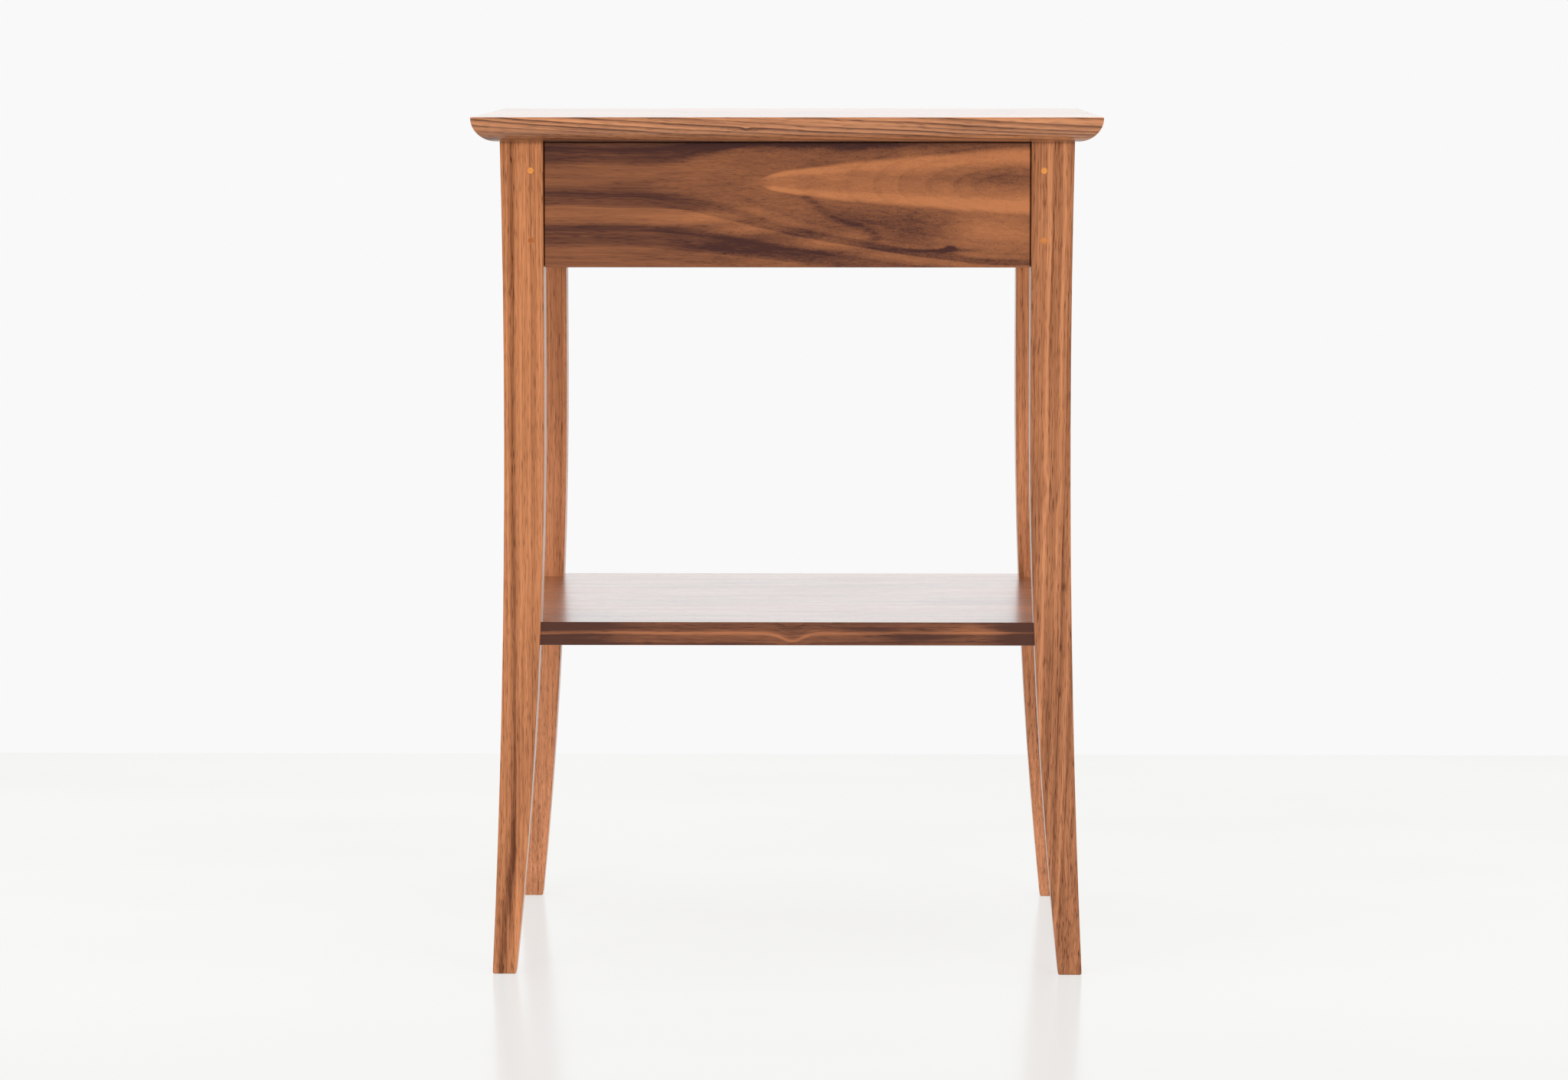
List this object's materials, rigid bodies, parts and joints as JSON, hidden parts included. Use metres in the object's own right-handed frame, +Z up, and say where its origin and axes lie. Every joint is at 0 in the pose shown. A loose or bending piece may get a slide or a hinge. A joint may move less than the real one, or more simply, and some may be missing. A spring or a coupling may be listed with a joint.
{
  "type": "side table with drawer",
  "caption": "Walnut side table on legs that sweep outwards, with an undercut top, a dovetailed drawer on wooden runners and a lower shelf notched round the legs.",
  "frame": {"origin": "on the floor, under the middle of the table", "axes": "+Z up, -Y towards the drawer's front, X along the drawer's width"},
  "size_m": [0.508, 0.406, 0.6995],
  "materials": {
    "walnut": "satin oil varnish on black walnut",
    "maple": "waxed hard maple",
    "peg_wood": "satin end grain of an orange hardwood",
    "screw_steel": "zinc-plated steel"
  },
  "bodies": {
    "table": {"tabletop": "walnut", "leg_front_left": "walnut", "leg_front_right": "walnut", "leg_rear_left": "walnut", "leg_rear_right": "walnut", "front_apron": "walnut", "back_apron": "walnut", "side_apron_left": "walnut", "side_apron_right": "walnut", "shelf": "walnut", "drawer_runner_left": "maple", "drawer_runner_right": "maple", "drawer_guide_left": "maple", "drawer_guide_right": "maple", "drawer_kicker_left": "maple", "drawer_kicker_right": "maple", "top_button_left": "maple", "top_button_right": "maple", "shelf_dowels": "maple", "pegs_front": "peg_wood", "pegs_back": "peg_wood", "pegs_left": "peg_wood", "pegs_right": "peg_wood", "kicker_screws": "screw_steel", "front_apron_screws": "screw_steel", "button_screws": "screw_steel"},
    "drawer": {"drawer_front": "walnut", "drawer_box_front": "maple", "drawer_side_left": "maple", "drawer_side_right": "maple", "drawer_back": "maple", "drawer_bottom": "maple", "drawer_front_screws": "screw_steel", "drawer_bottom_screws": "screw_steel", "drawer_stop": "maple", "drawer_stop_screw": "screw_steel"}
  },
  "joints": [
    {"name": "drawer_slide", "type": "slide", "parent": "table", "child": "drawer", "axis": [0, -1, 0], "range_m": [0, 0.277]}
  ]
}
